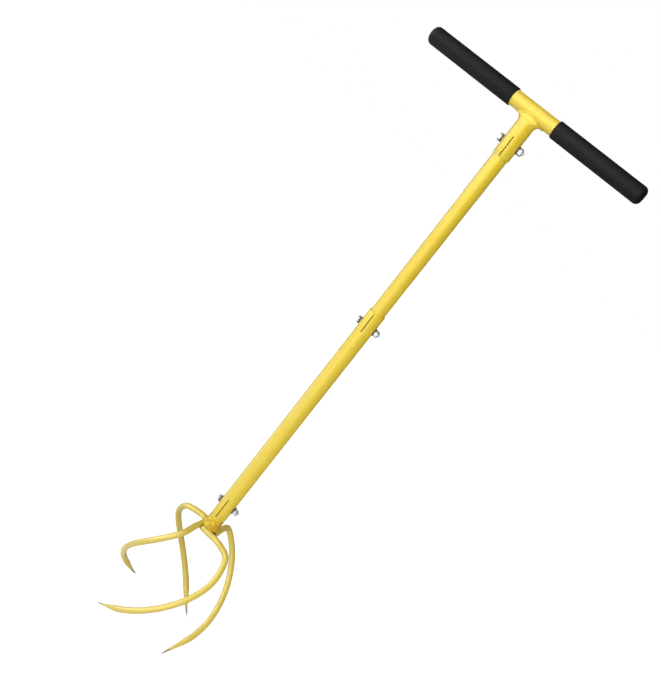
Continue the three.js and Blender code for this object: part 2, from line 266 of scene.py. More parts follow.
def makePowderCoat(name, bareTips=False, burnt=False):
    # polyester powder coat, sprayed on and baked: saturated yellow, semi-gloss, with a fine orange
    # peel that breaks up the highlight
    look = powderSettings
    material, tree, shader, place = newMaterial(name)
    shader.inputs["IOR"].default_value = look["ior"]
    shader.inputs["Specular IOR Level"].default_value = look["weldSheen" if burnt else "sheen"]
    clouds = addNode(tree, "ShaderNodeTexNoise", inputs={
        "Vector": place, "Scale": 1 / look["cloudSize"], "Detail": 2})
    # on the rods the coat takes the paler colours, a painted sheen
    tone = addNode(tree, "ShaderNodeMix", {"data_type": "RGBA"}, {
        0: clouds.outputs["Fac"], 6: toLinear(look["rodSheenPale" if bareTips else "colour"]),
        7: toLinear(look["rodSheenPaleDeeper" if bareTips else "deeper"])})
    colour = tone.outputs[2]
    rough = addNode(tree, "ShaderNodeMapRange", inputs={
        "Value": clouds.outputs["Fac"],
        "To Min": look["roughness"] - look["unevenness"], "To Max": look["roughness"] + look["unevenness"]})
    roughness = rough.outputs[0]
    peel = addNode(tree, "ShaderNodeTexNoise", inputs={
        "Vector": place, "Scale": 1 / look["peelSize"], "Detail": 1.5, "Roughness": 0.4})
    height = peel.outputs["Fac"]
    if burnt:
        heat = addNode(tree, "ShaderNodeTexNoise", inputs={
            "Vector": place, "Scale": 1 / look["heatSize"], "Detail": 2})
        split = addNode(tree, "ShaderNodeSeparateXYZ", inputs={"Vector": place})
        lean = addNode(tree, "ShaderNodeMath", {"operation": "MULTIPLY_ADD"}, {
            0: split.outputs["X"], 1: look["tintLeanRight"], 2: heat.outputs["Fac"]})
        warm = addNode(tree, "ShaderNodeMapRange", inputs={
            "Value": lean.outputs[0], "From Min": look["heatFrom"], "From Max": look["heatTo"],
            "To Min": 0, "To Max": look["heatMost"]})
        baked = addNode(tree, "ShaderNodeMix", {"data_type": "RGBA"}, {
            0: warm.outputs[0], 6: colour, 7: toLinear(look["baked"])})
        specks = addNode(tree, "ShaderNodeTexNoise", inputs={
            "Vector": place, "Scale": 1 / look["speckSize"], "Detail": 3})
        mask = addNode(tree, "ShaderNodeMapRange", inputs={
            "Value": specks.outputs["Fac"], "From Min": look["speckFrom"], "From Max": look["speckTo"],
            "To Min": 0, "To Max": look["speckMost"]})
        stained = addNode(tree, "ShaderNodeMix", {"data_type": "RGBA"}, {
            0: mask.outputs[0], 6: baked.outputs[2], 7: toLinear(look["burn"])})
        colour = stained.outputs[2]
    if bareTips:
        split = addNode(tree, "ShaderNodeSeparateXYZ", inputs={"Vector": place})
        ragged = addNode(tree, "ShaderNodeTexNoise", inputs={
            "Vector": place, "Scale": 1 / look["ragSize"], "Detail": 3})
        edge = addNode(tree, "ShaderNodeMath", {"operation": "MULTIPLY_ADD"}, {
            0: ragged.outputs["Fac"], 1: -look["bareRag"], 2: split.outputs["Z"]})
        mask = addNode(tree, "ShaderNodeMapRange", {"clamp": True}, {
            "Value": edge.outputs[0], "From Min": look["bareHeight"] - look["bareRag"],
            "From Max": look["bareHeight"] - look["bareBlur"], "To Min": 1, "To Max": 0})
        bare = mask.outputs[0]
        grind = addNode(tree, "ShaderNodeTexNoise", inputs={
            "Vector": place, "Scale": 1 / look["grindSize"], "Detail": 2})
        steel = addNode(tree, "ShaderNodeMix", {"data_type": "RGBA"}, {
            0: grind.outputs["Fac"], 6: toLinear(look["bareSteel"]), 7: toLinear(look["bareDark"])})
        worn = addNode(tree, "ShaderNodeMix", {"data_type": "RGBA"}, {
            0: bare, 6: colour, 7: steel.outputs[2]})
        colour = worn.outputs[2]
        tree.links.new(bare, shader.inputs["Metallic"])
        mixed = addNode(tree, "ShaderNodeMix", {"data_type": "FLOAT"}, {
            0: bare, 2: roughness, 3: look["bareRoughness"]})
        roughness = mixed.outputs[0]
        cut = addNode(tree, "ShaderNodeMix", {"data_type": "FLOAT"}, {
            0: bare, 2: height, 3: grind.outputs["Fac"]})
        height = cut.outputs[0]
    bump = addNode(tree, "ShaderNodeBump", inputs={
        "Height": height, "Distance": look["peelHeight"], "Strength": 1})
    tree.links.new(colour, shader.inputs["Base Color"])
    tree.links.new(roughness, shader.inputs["Roughness"])
    tree.links.new(bump.outputs[0], shader.inputs["Normal"])
    return material


foamSettings = {
    # the pore colour is the painted shade in the middle of each pore
    "colour": "#121213", "poreShade": "#080809", "roughness": 0.56, "sheen": 0.1, "ior": 1.5,
    "poreSize": 0.9 * mm, "poreDepth": 0.12 * mm, "poreStrength": 0.6,
    "poreFrom": 0.05, "poreTo": 0.45, "poreLeast": 0.45,
    "mottle": 9 * mm, "mottleDark": 0.86, "mottleLight": 1.12,
}


def makeFoam():
    # closed-cell nitrile foam, moulded: matte charcoal, with fine pores whose middles are painted darker, a
    # painted shade
    look = foamSettings
    material, tree, shader, place = newMaterial("nitrileFoam")
    shader.inputs["IOR"].default_value = look["ior"]
    pores = addNode(tree, "ShaderNodeTexVoronoi", inputs={"Vector": place, "Scale": 1 / look["poreSize"]})
    mottle = addNode(tree, "ShaderNodeTexNoise", inputs={
        "Vector": place, "Scale": 1 / look["mottle"], "Detail": 3})
    share = addNode(tree, "ShaderNodeMapRange", inputs={
        "Value": pores.outputs["Distance"], "From Min": look["poreFrom"], "From Max": look["poreTo"],
        "To Min": look["poreLeast"], "To Max": 1})
    # towards each pore's middle the painted shade takes over
    tone = addNode(tree, "ShaderNodeMix", {"data_type": "RGBA"}, {
        0: share.outputs[0], 6: toLinear(look["poreShade"]), 7: toLinear(look["colour"])})
    shade = addNode(tree, "ShaderNodeMapRange", inputs={
        "Value": mottle.outputs["Fac"], "To Min": look["mottleDark"], "To Max": look["mottleLight"]})
    colour = addNode(tree, "ShaderNodeVectorMath", {"operation": "SCALE"}, {
        0: tone.outputs[2], "Scale": shade.outputs[0]})
    bump = addNode(tree, "ShaderNodeBump", inputs={
        "Height": pores.outputs["Distance"],
        "Distance": look["poreDepth"], "Strength": look["poreStrength"]})
    shader.inputs["Roughness"].default_value = look["roughness"]
    shader.inputs["Specular IOR Level"].default_value = look["sheen"]
    tree.links.new(colour.outputs[0], shader.inputs["Base Color"])
    tree.links.new(bump.outputs[0], shader.inputs["Normal"])
    return material


zincSettings = {
    "colour": "#D2D4D7", "dull": "#A9ABAE", "metal": 0.42,
    "roughness": 0.38, "smoother": 0.06, "rougher": 0.1,
    "patch": 2.4 * mm, "grain": 0.35 * mm, "grainDepth": 0.006 * mm,
}


def makeZinc():
    # bright zinc plate over pressed steel: cool pale grey, part mirror and part chalky bloom, and
    # patchy from the bath
    look = zincSettings
    material, tree, shader, place = newMaterial("brightZincPlate")
    shader.inputs["Metallic"].default_value = look["metal"]
    patches = addNode(tree, "ShaderNodeTexNoise", inputs={
        "Vector": place, "Scale": 1 / look["patch"], "Detail": 3})
    grain = addNode(tree, "ShaderNodeTexNoise", inputs={
        "Vector": place, "Scale": 1 / look["grain"], "Detail": 2})
    tone = addNode(tree, "ShaderNodeMix", {"data_type": "RGBA"}, {
        0: patches.outputs["Fac"], 6: toLinear(look["colour"]), 7: toLinear(look["dull"])})
    rough = addNode(tree, "ShaderNodeMapRange", inputs={
        "Value": patches.outputs["Fac"],
        "To Min": look["roughness"] - look["smoother"], "To Max": look["roughness"] + look["rougher"]})
    bump = addNode(tree, "ShaderNodeBump", inputs={
        "Height": grain.outputs["Fac"], "Distance": look["grainDepth"], "Strength": 1})
    tree.links.new(tone.outputs[2], shader.inputs["Base Color"])
    tree.links.new(rough.outputs[0], shader.inputs["Roughness"])
    tree.links.new(bump.outputs[0], shader.inputs["Normal"])
    return material


oxideSettings = {
    "colour": "#1E1E20", "worn": "#2E2E31", "roughness": 0.45, "sheen": 0.35, "grain": 0.5 * mm,
}


def makeBlackOxide():
    # hot black oxide on a pressed washer: near-black with a dull, oily sheen; on the rim the black also
    # paints the shade of the gap against the tube
    look = oxideSettings
    material, tree, shader, place = newMaterial("blackOxideSteel")
    grain = addNode(tree, "ShaderNodeTexNoise", inputs={
        "Vector": place, "Scale": 1 / look["grain"], "Detail": 2})
    tone = addNode(tree, "ShaderNodeMix", {"data_type": "RGBA"}, {
        0: grain.outputs["Fac"], 6: toLinear(look["colour"]), 7: toLinear(look["worn"])})
    shader.inputs["Roughness"].default_value = look["roughness"]
    shader.inputs["Specular IOR Level"].default_value = look["sheen"]
    tree.links.new(tone.outputs[2], shader.inputs["Base Color"])
    return material


bareSteelAndGapShadeSettings = {
    "colour": "#1C1710", "stained": "#2E2618", "roughness": 0.7, "sheen": 0.15, "stain": 6 * mm,
}


def makeBareSteelAndGapShade():
    # drawn steel tube without its coat, blackened by scale and oil: a dark warm grey that stays dull, and
    # darker still as the painted shade in the slits and gaps where it shows
    look = bareSteelAndGapShadeSettings
    material, tree, shader, place = newMaterial("oiledSteelPaintedGapShade")
    shader.inputs["Roughness"].default_value = look["roughness"]
    shader.inputs["Specular IOR Level"].default_value = look["sheen"]
    stains = addNode(tree, "ShaderNodeTexNoise", inputs={
        "Vector": place, "Scale": 1 / look["stain"], "Detail": 3})
    tone = addNode(tree, "ShaderNodeMix", {"data_type": "RGBA"}, {
        0: stains.outputs["Fac"], 6: toLinear(look["colour"]), 7: toLinear(look["stained"])})
    tree.links.new(tone.outputs[2], shader.inputs["Base Color"])
    return material


powderCoat = makePowderCoat("yellowPowderCoat")
powderCoatTines = makePowderCoat("yellowPowderCoatPaintedSheenWornTips", bareTips=True)
powderCoatWelds = makePowderCoat("yellowPowderCoatOverWeld", burnt=True)
nitrileFoam = makeFoam()
zincPlate = makeZinc()
blackOxide = makeBlackOxide()
bareSteelAndGapShade = makeBareSteelAndGapShade()
print("materials: 7")


# Tubes

tubeSettings = {
    "sleeveSides": 108,         # two strips of the sleeve are as wide as a slit
    "tubeSides": 92,
    "barSides": 96,
    "wall": 1.2 * mm,
    "stemWall": 2 * mm,
    "rim": 0.22 * mm, "rimSegments": 2, "rimAngle": 40,   # rounded saw-cut edges
    "holeRadius": 3.3 * mm,
    "holeMargin": 6 * mm,       # rings of edges this far above and below a hole's middle
    "drillLength": 60 * mm, "drillSides": 36,
    "slitHalf": 0.8 * mm,
    "handleSlit": 31.5 * mm, "heightSlit": 34 * mm, "hubSlit": 37.5 * mm,
    "slotLength": 90 * mm,      # the way of the height bolt
    "slotStrips": 4,            # strips of the upper tube from a slot's middle to its edge
    # bare steel begins this far inside an outer tube; its dark colour is also the painted shade seen
    # through slits and gaps
    "maskedFrom": 0.8 * mm, "heightMaskedFrom": 2.5 * mm,
    "sideways": 0.5,            # least share of a strip's normal that faces the slit's side
}
barMiddle, barSize = boxOf("crossbar")[2:]
upperLow, upperHigh, upperMiddle, upperSize = boxOf("upper_tube")
lowerLow, lowerHigh, lowerMiddle, lowerSize = boxOf("lower_tube")
stemLow, stemHigh, stemMiddle, stemSize = boxOf("hub_stem")
socketLow = boxOf("handle_socket")[0]
barRadius = barSize.z / 2
tubeRadius = upperSize.x / 2
sleeveRadius = lowerSize.x / 2
handleBoltHeight = boxOf("handle_bolt")[2].z
heightBoltHeight = boxOf("height_bolt")[2].z
hubBoltHeight = boxOf("hub_bolt")[2].z


def thicken(piece, wall):
    modify(piece, "SOLIDIFY", thickness=wall, offset=-1, use_even_offset=True, use_rim=True)
    roundEdges(piece, tubeSettings["rim"], tubeSettings["rimSegments"], tubeSettings["rimAngle"])


def ringsRound(height):
    return [height - tubeSettings["holeMargin"], height + tubeSettings["holeMargin"]]


def openStrips(piece, low, high, halfWidth, acrossX):
    # takes the strips of an open tube away between two rings of edges, on both sides
    def wanted(centre, normal):
        aside, facing = (centre.y, normal.x) if acrossX else (centre.x, normal.y)
        return low < centre.z < high and abs(aside) < halfWidth and abs(facing) > tubeSettings["sideways"]
    selectPart(piece, "face", wanted)
    bpy.ops.mesh.delete(type="FACE")
    leaveEdit()


def bareInsideWithGapShade(piece, ranges):
    # what stays inside the outer tube was masked from the coat, and its dark colour paints the shade seen
    # through a slit
    def isInside(centre, normal):
        return any(low < centre.z < high for low, high in ranges)
    paintFaces(piece, powderCoat, bareSteelAndGapShade, isInside)


def drillAcross(piece, height, radius):
    form = tubeSettings
    cutter = addCylinder("drill", radius, form["drillLength"], form["drillSides"],
                         (0, 0, height), (0, quarterTurn, 0))
    cutAway(piece, cutter)


def makeCrossbar():
    bar = addCylinder("crossbarTube", barRadius, barSize.x, tubeSettings["barSides"], ends="NOTHING")
    thicken(bar, tubeSettings["wall"])
    bar.rotation_euler = (0, quarterTurn, 0)
    bar.location = barMiddle
    settle(bar)
    smooth(bar)
    finishPiece(bar, powderCoat, "powder_coat", "handle_shaft", "crossbar")


def makeUpperTube():
    form = tubeSettings
    slotLow, slotHigh = heightBoltHeight, heightBoltHeight + form["slotLength"]
    tube = addCylinder("upperTube", tubeRadius, upperSize.z, form["tubeSides"], upperMiddle, ends="NOTHING")
    settle(tube)
    slotHalf = tubeRadius * math.sin(form["slotStrips"] * 2 * math.pi / form["tubeSides"])
    insideTop, socketInside = lowerHigh.z - form["heightMaskedFrom"], socketLow.z + form["maskedFrom"]
    cutLoops(tube, [insideTop, socketInside, slotLow - form["holeMargin"], slotLow,
                    slotHigh, slotHigh + form["holeMargin"], *ringsRound(handleBoltHeight)])
    openStrips(tube, slotLow, slotHigh, slotHalf, True)
    thicken(tube, form["wall"])
    for height in (slotLow, slotHigh):
        drillAcross(tube, height, slotHalf)
    drillAcross(tube, handleBoltHeight, form["holeRadius"])
    smooth(tube)
    bareInsideWithGapShade(tube, [(upperLow.z - overrun, insideTop), (socketInside, upperHigh.z + overrun)])
    finishPiece(tube, powderCoat, "powder_coat", "handle_shaft", "upper_tube")


def makeLowerTube():
    form = tubeSettings
    tube = addCylinder("lowerTube", sleeveRadius, lowerSize.z, form["sleeveSides"],
                       lowerMiddle, ends="NOTHING")
    settle(tube)
    hubSlitTop, heightSlitLow = lowerLow.z + form["hubSlit"], lowerHigh.z - form["heightSlit"]
    cutLoops(tube, [hubSlitTop, heightSlitLow, *ringsRound(hubBoltHeight), *ringsRound(heightBoltHeight)])
    openStrips(tube, lowerLow.z - overrun, hubSlitTop, form["slitHalf"], False)
    openStrips(tube, heightSlitLow, lowerHigh.z + overrun, form["slitHalf"], False)
    thicken(tube, form["wall"])
    for height in (hubBoltHeight, heightBoltHeight):
        drillAcross(tube, height, form["holeRadius"])
    smooth(tube)
    finishPiece(tube, powderCoat, "powder_coat", "tine_shaft", "lower_tube")


makeCrossbar()
makeUpperTube()
makeLowerTube()
print("tubes: 3")


# Handle socket, flared into the crossbar

socketSettings = {
    # the flare goes out along the bar, and in at its front and back
    "flareRadius": 9 * mm, "flareDepth": -1.9 * mm, "flareRings": 12,
    "saddleLow": 4.5 * mm, "saddleGap": 0.05 * mm, "saddleLength": 80 * mm, "saddleSides": 192,
    "weldSteps": 240, "weldSides": 16, "weldCrease": 60,
    "ledgeIn": 0.3 * mm,        # from the flare's front to where the weld runs
    "footShare": 0.985, "earShare": 0.02,   # how far out the weld lies, and how much less over an ear
    "beadRadius": 1.4 * mm, "groundRadius": 1 * mm, "earBead": 1.3 * mm, "earSunk": 0.4 * mm,
    "rippleLength": 2.3 * mm, "ripple": 0.03,
    "burntFrom": 13 * mm,       # the weld is scorched this far out on the right
}


def makeSocket():
    form = socketSettings
    slitTop = socketLow.z + tubeSettings["handleSlit"]
    flareTop = barMiddle.z - barRadius
    flareLow = flareTop - form["flareRadius"]
    sleeve = addCylinder("socketSleeve", sleeveRadius, flareLow - socketLow.z, tubeSettings["sleeveSides"],
                         (0, 0, (flareLow + socketLow.z) / 2), ends="NOTHING")
    settle(sleeve)
    # the top ring is drawn up and out, step by step, into the concave flare
    below, wide, deep = flareLow, sleeveRadius, sleeveRadius
    angles = [quarterTurn * step / form["flareRings"] for step in range(1, form["flareRings"] + 1)]
    rings = [(flareLow + form["flareRadius"] * math.sin(angle), 1 - math.cos(angle)) for angle in angles]
    rings.append((barMiddle.z - form["saddleLow"], 1))
    for height, out in rings:
        newWide = sleeveRadius + form["flareRadius"] * out
        newDeep = sleeveRadius + form["flareDepth"] * out
        selectPart(sleeve, "edge", lambda a, b: min(a.z, b.z) > below - pickSlack)
        bpy.ops.mesh.extrude_region_move(TRANSFORM_OT_translate={"value": (0, 0, height - below)})
        bpy.ops.transform.resize(value=(newWide / wide, newDeep / deep, 1), center_override=(0, 0, height))
        leaveEdit()
        below, wide, deep = height, newWide, newDeep
    cutLoops(sleeve, [slitTop, *ringsRound(handleBoltHeight)])
    mergePoints(sleeve, seamMerge)
    openStrips(sleeve, socketLow.z - overrun, slitTop, tubeSettings["slitHalf"], False)
    thicken(sleeve, tubeSettings["wall"])
    saddle = addCylinder("saddle", barRadius + form["saddleGap"], form["saddleLength"], form["saddleSides"],
                         barMiddle, (0, quarterTurn, 0))
    cutAway(sleeve, saddle, folded=True)
    drillAcross(sleeve, handleBoltHeight, tubeSettings["holeRadius"])
    smooth(sleeve)
    finishPiece(sleeve, powderCoat, "powder_coat", "handle_shaft", "handle_socket")


swellSettings = {
    # the slower swell of the hand, as two waves
    "length": 4.1 * mm, "quickLength": 2.7 * mm, "quickShare": 0.6, "quickStart": 1.3,
}


def rippled(points, radii, rippleLength, ripple):
    # radii along a weld, with the ripple of the arc and the swell of the hand
    form = swellSettings
    uneven, run = [], 0
    for i, (point, radius) in enumerate(zip(points, radii)):
        run += (point - points[i - 1]).length if i else 0
        quick = form["quickShare"] * math.sin(run / form["quickLength"] + form["quickStart"])
        swell = ripple * (math.sin(run / form["length"]) + quick)
        uneven.append(radius * (1 + ripple * math.cos(2 * math.pi * run / rippleLength) + swell))
    return uneven


def makeSocketWeld():
    # ground smooth over the ears at the front and back, left as laid under the bar's right side
    form = socketSettings
    wide, deep = sleeveRadius + form["flareRadius"], sleeveRadius + form["flareDepth"]
    ledge = deep - form["ledgeIn"]
    points, radii = [], []
    for step in range(form["weldSteps"]):
        angle = 2 * math.pi * step / form["weldSteps"]
        y = max(-ledge, min(ledge, deep * math.sin(angle)))
        ear = (abs(y) / ledge) ** 2
        x = wide * math.cos(angle) * (form["footShare"] - form["earShare"] * ear)
        barUnder = barMiddle.z - math.sqrt(barRadius ** 2 - y ** 2)
        points.append(Vector((x, y, barUnder - form["earSunk"] * ear)))
        foot = form["beadRadius"] if x > 0 else form["groundRadius"]
        radii.append(foot + (form["earBead"] - foot) * ear)
    uneven = rippled(points, radii, form["rippleLength"], form["ripple"])
    weld = sweepBead("socketWeld", points, uneven, form["weldSides"], True)
    smooth(weld, form["weldCrease"])
    paintFaces(weld, powderCoat, powderCoatWelds, lambda centre, normal: centre.x > form["burntFrom"])
    finishPiece(weld, powderCoat, "powder_coat", "handle_shaft")


makeSocket()
makeSocketWeld()
print("socket: 2")


# Grips

gripSettings = {
    "sides": 96, "endWall": 3 * mm, "play": 0.3 * mm,
    "endRounding": 7.5 * mm, "endSegments": 12,
    "lipRounding": 0.9 * mm, "lipSegments": 4,
    "rimBand": 0.1 * mm,        # edges this near the outside belong to a rim
}


def makeGrip(name, node, side):
    form = gripSettings
    low, high, middle, size = boxOf(node)
    length, radius = size.x, size.z / 2
    grip = addCylinder(name, radius, length, form["sides"], (0, 0, length / 2))
    settle(grip)
    # the bore, from the inner end
    selectPart(grip, "face", lambda centre, normal: normal.z < -flatNormal)
    bpy.ops.mesh.inset(thickness=radius - barRadius - form["play"])
    bpy.ops.mesh.extrude_region_move(TRANSFORM_OT_translate={"value": (0, 0, length - form["endWall"])})
    leaveEdit()
    for z, rounding, segments in ((length, form["endRounding"], form["endSegments"]),
                                  (0, form["lipRounding"], form["lipSegments"])):
        def isRim(a, b):
            isLevel = abs(a.z - z) < pickSlack and abs(b.z - z) < pickSlack
            return isLevel and a.xy.length > radius - form["rimBand"]
        selectPart(grip, "edge", isRim)
        bpy.ops.mesh.bevel(offset=rounding, segments=segments, profile=0.5, affect="EDGES")
        leaveEdit()
    grip.rotation_euler = (0, side * quarterTurn, 0)
    grip.location = (low.x if side > 0 else high.x, 0, middle.z)
    settle(grip)
    smooth(grip)
    finishPiece(grip, nitrileFoam, "foam_grip", "handle_shaft", node)


makeGrip("gripLeftFoam", "grip_left", -1)
makeGrip("gripRightFoam", "grip_right", 1)
print("grips: 2")


# Tine head

tineSettings = {
    "rodRadius": 5 * mm,
    "rootHeight": 193 * mm,
    "rootLine": 13 * mm,        # axis of a root beside the tool's axis
    "rootStart": -7.7 * mm, "rootEnd": 27 * mm,
    "reach": 88 * mm,
    "pointLength": 48 * mm, "tipRadius": 0.12 * mm,
    "spacing": 2 * mm, "perSpan": 24, "sides": 32, "crease": 40,
    "rootEndShade": 0.8 * mm,       # length of the painted shade at a root's cut end
    "rootPick": 3 * mm, "rootPickLow": 6 * mm,   # past the end and below the axis of a root
    # share of the reach, turn about the tool's axis in degrees, share of the root's height
    "sweep": [
        (0.604, -16.0, 0.9613), (0.748, -22.5, 0.8855), (0.872, -32.0, 0.7795), (0.938, -42.0, 0.6747),
        (0.976, -52.5, 0.5698), (0.993, -63.0, 0.4679), (0.996, -73.5, 0.3698), (0.984, -85.0, 0.2704),
        (0.956, -96.5, 0.1835), (0.926, -108.5, 0.1079), (0.926, -121.0, 0.0387), (0.959, -128.5, 0.0008),
    ],
    # each tine as it was welded: degrees rolled, tilted and turned off square about the middle of its root
    "welded": [
        ("Front", 0.6, -1.2, 0.9), ("Right", -0.6, -1.2, 2.2),
        ("Back", -0.6, -1.2, 0.9), ("Left", 0.6, 0.9, -1.6),
    ],
}


def throughPoints(stops, perSpan):
    # a smooth line through the stops, which doesn't overshoot where they are close together
    ends = [2 * stops[0] - stops[1], *stops, 2 * stops[-1] - stops[-2]]
    line = []
    for i in range(1, len(ends) - 2):
        before, start, end, after = ends[i - 1:i + 3]
        a, b, c = (math.sqrt((v - u).length) for u, v in ((before, start), (start, end), (end, after)))
        leave = ((start - before) / a - (end - before) / (a + b) + (end - start) / b) * b
        arrive = ((end - start) / b - (after - start) / (b + c) + (after - end) / c) * b
        for step in range(perSpan):
            t = step / perSpan
            line.append(start * (2 * t**3 - 3 * t**2 + 1) + leave * (t**3 - 2 * t**2 + t)
                        + end * (3 * t**2 - 2 * t**3) + arrive * (t**3 - t**2))
    return line + [stops[-1]]


def evenly(line, spacing):
    # the same line in equal steps
    runs = [0]
    for a, b in zip(line, line[1:]):
        runs.append(runs[-1] + (b - a).length)
    count = round(runs[-1] / spacing)
    points, at = [], 0
    for step in range(count + 1):
        run = runs[-1] * step / count
        while at < len(line) - 2 and runs[at + 1] < run:
            at += 1
        share = (run - runs[at]) / (runs[at + 1] - runs[at])
        points.append(line[at].lerp(line[at + 1], share))
    return points, runs[-1]


def tinePlaces():
    form = tineSettings
    rootMiddle = (form["rootStart"] + form["rootEnd"]) / 2
    root = Matrix.Translation((rootMiddle, -form["rootLine"], form["rootHeight"]))
    for quarter, (side, roll, tilt, turn) in enumerate(form["welded"]):
        lean = (Matrix.Rotation(math.radians(turn), 4, "Z") @ Matrix.Rotation(math.radians(tilt), 4, "X")
                @ Matrix.Rotation(math.radians(roll), 4, "Y"))
        yield side, Matrix.Rotation(quarter * quarterTurn, 4, "Z") @ root @ lean @ root.inverted()


def makeTines():
    form = tineSettings
    stops = [Vector((x, -form["rootLine"], form["rootHeight"]))
             for x in (form["rootStart"], (form["rootStart"] + form["rootEnd"]) / 2, form["rootEnd"])]
    for reach, turn, height in form["sweep"]:
        angle = math.radians(turn)
        out = form["reach"] * reach
        stops.append(Vector((out * math.cos(angle), out * math.sin(angle), form["rootHeight"] * height)))
    points, length = evenly(throughPoints(stops, form["perSpan"]), form["spacing"])
    radii = []
    for i in range(len(points)):
        left = length * (1 - i / (len(points) - 1))
        radii.append(max(form["tipRadius"], form["rodRadius"] * min(1, left / form["pointLength"])))
    model = sweepBead("tineModel", points, radii, form["sides"], False)
    smooth(model, form["crease"])
    # the cut end of the root, beside the next rod, is painted near-black: a painted shade for the gap
    # between the rods
    rootEndShade = form["rootStart"] + form["rootEndShade"]

    def isRoot(centre, normal):
        isHigh = centre.z > form["rootHeight"] - form["rootPickLow"]
        return isHigh and centre.x < form["rootStart"] + form["rootPick"]

    def isRootEndShade(centre, normal):
        return centre.x < rootEndShade and isRoot(centre, normal)

    selectPart(model, "face", isRoot)
    bpy.ops.mesh.bisect(plane_co=(rootEndShade, 0, 0), plane_no=(1, 0, 0), use_fill=False)
    leaveEdit()
    paintFaces(model, powderCoatTines, bareSteelAndGapShade, isRootEndShade)
    for side, place in tinePlaces():
        rod = copyPiece(model, "tine" + side + "Rod", place)
        finishPiece(rod, powderCoatTines, "powder_coat", "tine_shaft", "tine_" + side.lower())
    bpy.data.objects.remove(model)


stemSettings = {
    # height above the roots, radius and distance off the stem of each pass of the weld
    "passes": [
        (0.6 * mm, 2.6 * mm, 0.7 * mm), (4.1 * mm, 2.2 * mm, 0), (7.5 * mm, 2.0 * mm, -0.3 * mm),
        (10.8 * mm, 1.9 * mm, -0.5 * mm), (14.0 * mm, 1.8 * mm, -0.6 * mm),
        (17.0 * mm, 1.7 * mm, -0.7 * mm),
    ],
    "steps": 180, "sides": 16, "crease": 60,
    "rippleLength": 3.1 * mm, "rippleGrowth": 0.17, "ripple": 0.1,
    # each pass wanders in and out and up and down in waves round the stem
    "waves": 3, "waveStart": 0.8, "waveShift": 2.1, "waveOut": 0.4, "waveUp": 0.5 * mm,
    "lumpSize": 5 * mm, "lumpHeight": 1.3 * mm,
}


def roughenWeld(piece):
    # uneven lumps of a hand-laid weld
    form = stemSettings
    lumps = bpy.data.textures.new("weldLumps", "CLOUDS")
    lumps.noise_scale = form["lumpSize"]
    modify(piece, "DISPLACE", texture=lumps, texture_coords="LOCAL",
           mid_level=0.5, strength=form["lumpHeight"])


def makeStem():
    form = tubeSettings
    stem = addCylinder("hubStemTube", tubeRadius, stemSize.z, form["tubeSides"], stemMiddle, ends="NOTHING")
    settle(stem)
    insideLow = lowerLow.z + form["maskedFrom"]
    cutLoops(stem, [insideLow, *ringsRound(hubBoltHeight)])
    thicken(stem, form["stemWall"])
    drillAcross(stem, hubBoltHeight, form["holeRadius"])
    smooth(stem)
    bareInsideWithGapShade(stem, [(insideLow, stemHigh.z + overrun)])
    finishPiece(stem, powderCoat, "powder_coat", "tine_shaft", "hub_stem")


def makeStemWeld():
    # laid round the stem's foot in passes that climb up from the roots
    form = stemSettings
    beads = []
    for layer, (height, radius, out) in enumerate(form["passes"]):
        ring = []
        for step in range(form["steps"]):
            angle = 2 * math.pi * step / form["steps"]
            wave = math.sin(form["waves"] * angle + form["waveStart"] + form["waveShift"] * layer)
            reach = tubeRadius + out * (1 + form["waveOut"] * wave)
            ring.append(Vector((reach * math.cos(angle), reach * math.sin(angle),
                                stemLow.z + height + form["waveUp"] * wave)))
        rippleLength = form["rippleLength"] * (1 + form["rippleGrowth"] * layer)
        radii = rippled(ring, [radius] * form["steps"], rippleLength, form["ripple"])
        bead = sweepBead("weldPass", ring, radii, form["sides"], True)
        roughenWeld(bead)
        beads.append(bead)
    weld = joinPieces(*beads)
    weld.name = weld.data.name = "stemWeld"
    smooth(weld, form["crease"])
    finishPiece(weld, powderCoatWelds, "powder_coat", "tine_shaft")


makeTines()
makeStem()
makeStemWeld()
print("tine head: 6")


# Clamp fasteners, modelled once along Z and laid across the tubes

fastenerSettings = {
    "corner": 10 * mm / math.sqrt(3),   # hexagon 10 mm across flats
    "headHeight": 4 * mm, "nutHeight": 5 * mm,
    # its corners are turned down to a cone of 30 degrees round a flat face
    "faceRadius": 4.75 * mm, "slope": 0.577, "coneRim": 0.3 * mm, "coneSides": 60,
    "edgeRound": 0.12 * mm, "sharpest": 50, "crease": 28,
    "washerRadius": 6 * mm, "washerThickness": 1.6 * mm, "washerHole": 3.2 * mm,
    "washerSides": 64, "washerRound": 0.22 * mm,
    "threadRadius": 3 * mm, "coreRadius": 2.5 * mm, "pitch": 1 * mm, "ridgeShare": 0.46,
    "threadSides": 48, "turnSteps": 36,
    "threadIn": 3 * mm,         # the thread begins this far before the nut
    "endBare": 0.9 * mm, "endRound": 0.4 * mm,
    "boreGap": 0.03 * mm, "mouth": 0.45 * mm, "mouthBand": 0.1 * mm,
    "endShow": 2.6 * mm,        # of a bolt, out of its nut
    "gap": 0.3 * mm,            # between parts that are pressed together
}


def drawCone(cone, height, drop, ratio):
    # the picked end of the cone is drawn out and in
    bpy.ops.mesh.extrude_region_move(TRANSFORM_OT_translate={"value": (0, 0, drop)})
    bpy.ops.transform.resize(value=(ratio, ratio, 1), center_override=(0, 0, height))
    leaveEdit()


